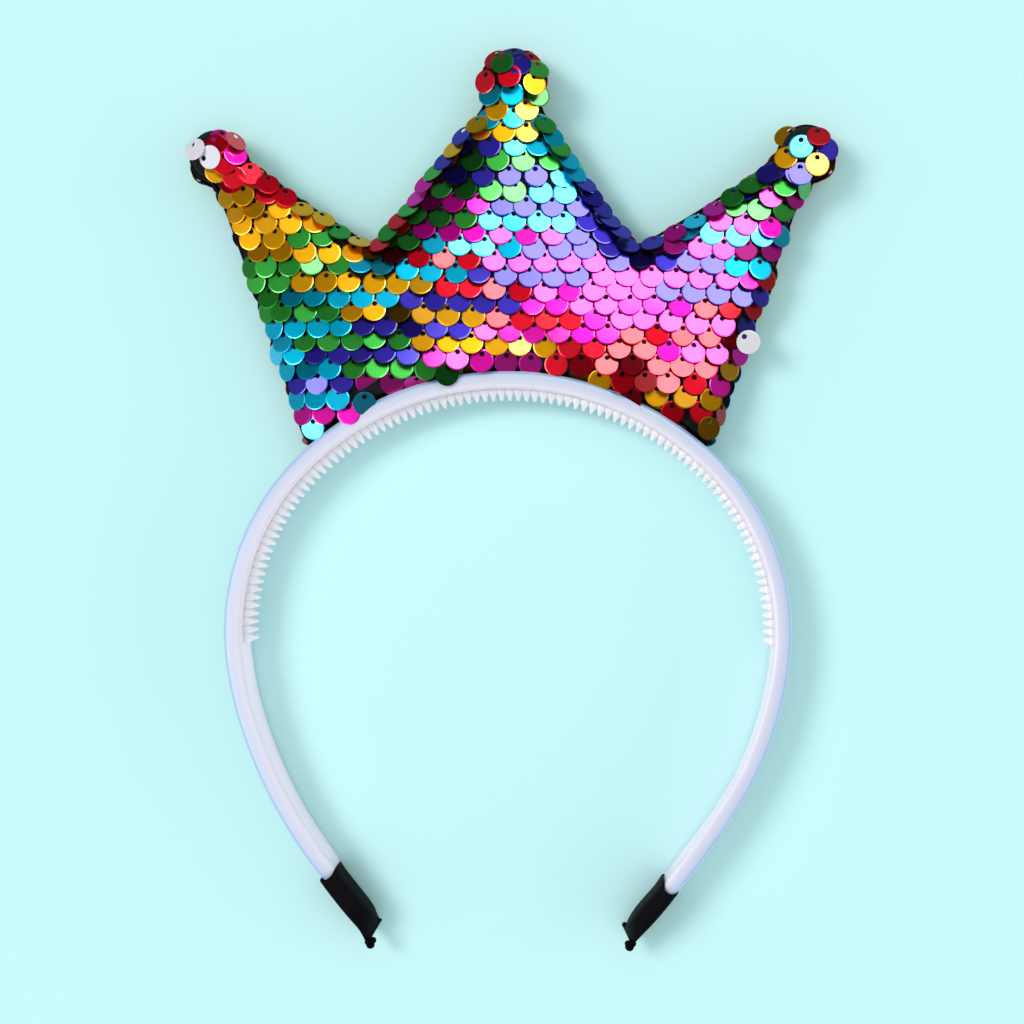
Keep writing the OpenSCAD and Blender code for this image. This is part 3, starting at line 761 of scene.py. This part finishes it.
# Rows of holes on the front, from the foot up, each by a few of its holes from left to right, in
# pixels of the picture. The other holes of the row are evenly spaced between them.
ROWS = [
    (-2, [(314, 421)]),
    (-1, [(304, 407), (325, 406), (710, 421)]),
    (0, [(298, 392), (339, 392), (673, 404), (720, 407)]),
    (1, [(298, 377), (319, 376), (367, 375), (657, 388), (709, 393)]),
    (2, [(287, 363), (378, 361), (426, 361), (578, 371), (667, 376), (719, 379)]),
    (3, [(277, 347), (385, 346), (531, 357), (658, 358), (729, 362)]),
    (4, [(284, 335), (375, 332), (520, 338), (644, 342), (718, 347)]),
    (5, [(275, 321), (387, 319), (534, 325), (657, 327), (733, 331)]),
    (6, [(284, 305), (375, 304), (522, 312), (645, 312), (746, 321)]),
    (7, [(270, 291), (387, 290), (533, 298), (654, 297), (705, 301)]),
    (8, [(280, 275), (398, 277), (544, 285), (643, 282), (742, 289)]),
    (9, [(267, 260), (338, 257), (407, 263), (529, 270), (627, 269), (725, 272)]),
    (10, [(260, 245), (282, 245), (396, 249), (519, 255), (594, 255), (689, 254), (759, 262)]),
    (11, [(252, 232), (323, 231), (435, 237), (534, 242), (585, 242), (700, 241), (747, 243)]),
    (12, [(243, 217), (266, 216), (425, 223), (526, 228), (578, 228), (712, 227), (737, 229)]),
    (13, [(237, 206), (255, 202), (279, 202), (465, 212), (514, 214), (563, 216), (721, 214),
          (770, 221)]),
    (14, [(245, 190), (268, 189), (455, 196), (526, 200), (577, 200), (735, 200), (759, 203)]),
    (15, [(232, 177), (256, 176), (466, 183), (540, 186), (586, 188), (745, 187), (770, 190)]),
    (16, [(249, 164), (458, 170), (509, 169), (561, 170), (580, 176), (760, 176), (784, 180)]),
    (17, [(473, 155), (497, 154), (549, 154), (570, 161), (774, 166), (797, 167)]),
    (18, [(466, 141), (515, 139), (539, 141), (561, 146)]),
    (19, [(482, 124), (526, 126), (549, 131)]),
    (20, [(490, 113), (514, 111), (539, 118)]),
    (21, [(497, 103), (525, 103)]),
]
# Between these two places, in pixels from the left, the row is hidden under the band. Its sequins
# next to them are tucked under the band's edge.
TUCKED = 45
UNDER_BAND = {-2: (325, 700), -1: (352, 688), 0: (386, 651), 1: (434, 604), 2: (500, 556)}
# Single sequins on the three balls and loose at the edges, one after another over the last: the
# hole in pixels, the turn in degrees, the height over the cloth in mm and the foil. A foil whose
# name starts with dark gets painted shade, its colour darkened and its gloss cut.
BALL_SEQUINS = [
    (497, 54, 0, 0.4, "red"), (532, 55, 0, 0.4, "red"), (514, 52, 5, 0.4, "dark indigo"),
    (519, 61, 5, 0.5, "dark indigo"),
    (534, 89, 20, 0.3, "green"), (512, 87, 0, 0.45, "cyan"), (492, 88, -15, 0.4, "cyan"),
    (535, 66, -5, 0.1, "green"), (531, 78, 10, 1.1, "gold"), (509, 71, 0, 0.9, "red"),
    (488, 75, -10, 0.9, "red"), (503, 60, 0, 1.3, "green"),
    (222, 133, 0, 0.3, "magenta"), (214, 141, 25, 0.35, "dark red"), (219, 165, -10, 0.35, "gold"),
    (225, 157, 0, 0.9, "red"), (234, 172, 10, 0.35, "red"), (233, 151, 5, 0.4, "magenta"),
    (233, 139, -20, 0.9, "red"), (205, 159, 100, 0.7, "reverse"), (196, 146, 30, 0.4, "reverse"),
    (799, 167, 0, 0.3, "indigo"), (825, 143, 10, 0.4, "indigo"), (816, 157, 0, 1.1, "gold"),
    (787, 152, -5, 0.9, "gold"), (801, 141, 0, 1.4, "cyan"), (816, 133, 10, 0.9, "red"),
    (790, 131, -35, 0.6, "gold"), (743, 337, 40, 0.9, "reverse"),
    (447, 364, 0, 0.6, "dark green"), (706, 420, 0, 0.9, "dark gold"),
]
BALLS = [(216, 156), (513, 81), (806, 152)]
# Cloth without sequins: the middle and the radius, in pixels.
BARE = [(206, 174, 15), (820, 172, 11)]
# Zones where a share of the sequins gets painted shade, standing for a turn away from the light: the
# middle and the half width and half height of each, in pixels, and the share of its sequins that gets
# painted shade, its foil darkened and its gloss cut.
PAINTED_SHADE_ZONES = [(463, 165, 26, 34, 0.95), (440, 205, 22, 16, 0.5), (412, 252, 40, 16, 0.7),
         (418, 318, 30, 12, 0.7), (425, 345, 24, 10, 0.4), (640, 252, 30, 14, 0.55),
         (690, 215, 24, 18, 0.5), (598, 370, 44, 12, 0.9), (685, 402, 16, 12, 1.0),
         (620, 388, 90, 15, 0.8), (700, 416, 40, 16, 0.9), (470, 372, 60, 10, 0.5),
         (735, 240, 14, 40, 0.4), (620, 300, 10, 8, 0.9), (730, 350, 12, 20, 0.5)]


def gets_painted_shade(x, y):
    """Whether a sequin with its middle here is one of those that a zone gives painted shade."""
    for middle_x, middle_y, half_w, half_h, share in PAINTED_SHADE_ZONES:
        if ((x - middle_x) / half_w) ** 2 + ((y - middle_y) / half_h) ** 2 < 1:
            return random.random() < share
    return False


# Twelve places on a sequin's edge, measured from its hole, and the sequins hung so far.
RIM = [Vector((SEQUIN_R * math.cos(k * math.pi / 6),
               SEQUIN_R * math.sin(k * math.pi / 6) - HOLE_UP, 0)) for k in range(12)]
hung = {"front": [], "back": []}
# A sequin's lower edge stands off the cloth by this angle in degrees, and it leans, turns and rolls
# at random by about these. One that would cut into its neighbours is raised by the first of these
# steps in mm, and tipped by one of these angles, that clears them.
LEAN = {"front": 7.5, "back": 3}
LEAN_SPREAD = 2.7
TURN_SPREAD = 5
ROLL_SPREAD = 2.5
RAISES = (0, 0.12, 0.25, 0.4, 0.55, 0.75, 0.95, 1.2)
TIPS = (0, 6, -6, 13)
# A sequin with painted shade has most of the gloss of its lacquer cut as well, so that it stays dark.
PAINTED_SHADE_GLOSS = 0.1


def overlaps(side, place):
    """How deep a disc in this place would cut into those that hang already, over or under it."""
    centre = place @ RIM[3].lerp(RIM[9], 0.5)
    facing = (place.to_3x3() @ Vector((0, 0, 1))).normalized()
    rim = [place @ spot for spot in RIM] + [centre]
    deepest = 0.0
    for other_centre, other_facing, other_rim in hung[side]:
        if (other_centre - centre).length > 2 * SEQUIN_R:
            continue
        for spots, middle, way, sign in ((rim, other_centre, other_facing, 1),
                                         (other_rim, centre, facing, -1)):
            for spot in spots:
                if (spot - middle).length < SEQUIN_R * 1.02:
                    deepest = max(deepest, SEQUIN_THICK * 1.3 - (spot - middle).dot(way) * sign)
    return deepest, (centre, facing, rim)


def hang(side, point, normal, name, turn=0, lift=0.3, lean=None, loose=1.0, shade=1.0, level=0.0,
         rise=Vector((0, 1, 0))):
    """One sequin hung by its hole on a panel, clear of those it laps over.

    turn and lean are in degrees, and lift is in mm. loose scales what is random, shade is painted
    shade that darkens the foil and at 0.7 or less cuts its gloss, level turns the disc to face
    upwards, and rise is the way towards its hole."""
    normal = lying(skins[side], point, normal, turn, rise)
    if level:
        normal = (normal + (camera.location - point).normalized() * level).normalized()
    lean = random.gauss(LEAN[side] if lean is None else lean, LEAN_SPREAD * loose)
    turn += random.gauss(0, TURN_SPREAD * loose)
    roll = Matrix.Rotation(math.radians(random.gauss(0, ROLL_SPREAD * loose)), 4, "Y")
    best = None
    for more in RAISES:
        for tip in TIPS:
            right, up = upright(normal, turn, rise)
            angle = math.radians(lean + tip)
            facing = (normal * math.cos(angle) + up * math.sin(angle)).normalized()
            turned = Matrix((right, facing.cross(right), facing)).transposed().to_4x4()
            trial = Matrix.Translation(point + normal * (lift + more) * MM) @ turned @ roll
            cut, shape = overlaps(side, trial)
            if best is None or cut < best[0] - 0.03 * MM:
                best = (cut, trial, shape)
        if best[0] <= 0:
            break
    cut, place, shape = best
    hung[side].append(shape)
    disc = sequin.copy()
    disc.data = sequin.data.copy()
    disc.data.transform(place)
    sunk = 0.02 * MM - min(v.co.z for v in disc.data.vertices)
    if sunk > 0:
        disc.data.transform(Matrix.Translation((0, 0, sunk)))
    if name == "reverse":
        disc.data.materials.append(reverse)
    else:
        disc.data.materials.append(foil)
        tint = linear(FOILS[name])
        # Painted shade: the foil's colour is multiplied by the shade, and a shaded sequin's gloss is
        # cut.
        gloss = 1.0 if shade > 0.7 else PAINTED_SHADE_GLOSS
        shade *= random.uniform(0.9, 1.05)
        colours = disc.data.color_attributes.new("foil", "FLOAT_COLOR", "POINT")
        for entry in colours.data:
            entry.color = (tint[0] * shade, tint[1] * shade, tint[2] * shade, gloss)
    bpy.context.scene.collection.objects.link(disc)
    return disc


def sew_together(side, discs):
    """All the sequins of one panel as one piece."""
    bpy.ops.object.select_all(action="DESELECT")
    for disc in discs:
        disc.select_set(True)
    bpy.context.view_layer.objects.active = discs[0]
    bpy.ops.object.join()
    piece = bpy.context.object
    piece.name = "sequins_" + side
    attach(piece, "root")


def row_height(holes, x):
    """How far down the picture a row runs at x, in pixels."""
    before = [hole for hole in holes if hole[0] <= x] or [holes[0]]
    after = [hole for hole in holes if hole[0] > x] or [holes[-1]]
    (x0, y0), (x1, y1) = before[-1], after[0]
    return y0 if x1 == x0 else y0 + (y1 - y0) * (x - x0) / (x1 - x0)


# Each row is followed across the crown's width in quarters of a pixel. From this row up a row is
# sewn only on the points on which its holes lie.
ACROSS = [i / 4 for i in range(180 * 4, 850 * 4)]
POINTS_FROM = 15
# A sequin's middle lies this many pixels below its hole.
HOLE_TO_MIDDLE = 8
TUCKED_LIFT = 0.5
TUCKED_LEAN = -1
TURNED_LEAN = 2
PAINTED_SHADE_RANGE = (0.06, 0.5)
discs = []
for row, holes in ROWS:
    for run in runs_of([(x, seen(x, row_height(holes, x))) for x in ACROSS]):
        if row >= POINTS_FROM and not any(run[0][0] < hole[0] < run[-1][0] for hole in holes):
            continue
        for x, point, normal in spaced(run, [hole[0] for hole in holes]):
            left, right = UNDER_BAND.get(row, (0, 0))
            y = row_height(holes, x)
            if left < x < right or any(math.hypot(x - a, y - b) < r for a, b, r in BARE):
                continue
            # A sequin that a zone picks gets painted shade, its foil darkened and its gloss cut, and
            # it leans less than the others.
            turned = gets_painted_shade(x, y + HOLE_TO_MIDDLE)
            tucked = row < 3 and left - TUCKED < x < right + TUCKED
            discs.append(hang("front", point, normal, foil_of(row, x),
                              lift=TUCKED_LIFT if tucked else 0.3,
                              lean=(TUCKED_LEAN if tucked or row < 2
                                    else TURNED_LEAN if turned else None),
                              shade=random.uniform(*PAINTED_SHADE_RANGE) if turned else 1.0))
# A single sequin whose hole would miss the cloth is moved towards the middle of its ball. All of
# them lie more level than the cloth under them.
BALL_LEVEL = 0.4
PAINTED_DARK_SHADE = 0.3
for x, y, turn, lift, name in BALL_SEQUINS:
    middle = min(BALLS, key=lambda ball: math.hypot(ball[0] - x, ball[1] - y))
    while seen(x, y) is None:
        x += (middle[0] - x) * 0.05
        y += (middle[1] - y) * 0.05
    point, normal = seen(x, y)
    # A sequin whose foil is named dark gets painted shade.
    shade = PAINTED_DARK_SHADE if name.startswith("dark ") else 1.0
    discs.append(hang("front", point, normal, name.removeprefix("dark "), turn, lift,
                      level=BALL_LEVEL, shade=shade))
# Where the cloth turns over the points' upper slopes, a line of stitches follows the edge at these
# heights in the picture. It runs a little inside the edge and stops short of the balls, in pixels.
EDGE_LINE = range(254, 100, -12)
EDGE_IN = 1.4 * MM
BALL_CLEAR = 36
# The height of row 4 and the step between rows, in pixels, give each of its sequins a stripe.
ROW_4_HEIGHT = 334
ROW_PIXELS = 14.6
for y in EDGE_LINE:
    for run in runs_of([(x, seen(x, y)) for x in ACROSS]):
        for end, step in ((0, 1), (len(run) - 1, -1)):
            inside, place = end, run[end]
            while (run[inside][1] - place[1]).length < EDGE_IN:
                inside += step
            x, point, normal = run[inside]
            near_ball = min(math.hypot(ball[0] - x, ball[1] - y) for ball in BALLS) < BALL_CLEAR
            if normal.y > 0.2 and not near_ball:
                name = foil_of(round((ROW_4_HEIGHT - y) / ROW_PIXELS) + 4, x)
                # These sequins get painted shade: the foil darkened to 0.7 and the gloss cut.
                discs.append(hang("front", point, normal, name, lift=0.05, lean=4, loose=0.3,
                                  shade=0.7))
sew_together("front", discs)

# The back has the same rows and stripes, level and evenly spaced. Row 3 starts just above the middle
# of the crown's foot, and odd rows are set off by half a pitch.
FOOT = Vector((-0.5006 * MM, 26.983 * MM, 0))
ROW_STEP = 3.02 * MM
FIRST_UP = 1.5 * MM
ODD_SHIFT = 2.6
# The stripes are those of the front, taken by where the foot's middle shows and the pixels per mm.
FOOT_PIXEL = 504
PIXELS_PER_MM = 4.7
BACK_ACROSS = [i * 0.1 for i in range(-700, 701)]


def seen_from_below(x, height):
    """The place on the crown's back at x mm beside the foot's middle."""
    return skins["back"].along(Vector((FOOT.x + x * MM, height, -0.1)), Vector((0, 0, 1)))


discs = []
for row in range(-4, 23):
    height = (row - 3) * ROW_STEP + FOOT.y + FIRST_UP
    for run in runs_of([(x, seen_from_below(x, height)) for x in BACK_ACROSS]):
        for x, point, normal in spaced(run, [row % 2 * ODD_SHIFT]):
            name = foil_of(row + 2, FOOT_PIXEL - PIXELS_PER_MM * x)
            discs.append(hang("back", point, normal, name))
# A last row follows the seam, away from the band. From the front only the edges of its sequins show,
# as specks along the crown's outline. Each place on the cloth is found from a start beside the seam.
SEAM_PITCH = 4.7 * MM
START_OUT = 3 * MM
START_DOWN = 1.3 * MM
FARTHEST = 4 * MM
BAND_CLEAR = 3.2 * MM
walked = SEAM_PITCH
for before, here, after in zip(seam_line, seam_line[1:], seam_line[2:]):
    walked += (here - before).length
    if walked < SEAM_PITCH:
        continue
    outward = (after - before).cross(Vector((0, 0, 1))).normalized()
    found = None
    for way in (outward, -outward):
        start = here + way * START_OUT - Vector((0, 0, START_DOWN))
        hit = skins["back"].along(start, -way)
        if hit and (hit[0] - start).length < FARTHEST and hit[1].dot(way) > 0:
            found = hit
    if found is None or outer_tree.find_nearest(here)[3] < BAND_CLEAR:
        continue
    walked = 0.0
    name = random.choices(("gold", "red", "green"), (6, 3, 1))[0]
    discs.append(hang("back", found[0], found[1], name, lift=0.45, lean=7, loose=0.4,
                      rise=Vector((0, 0, 1))))
sew_together("back", discs)
bpy.data.objects.remove(sequin)
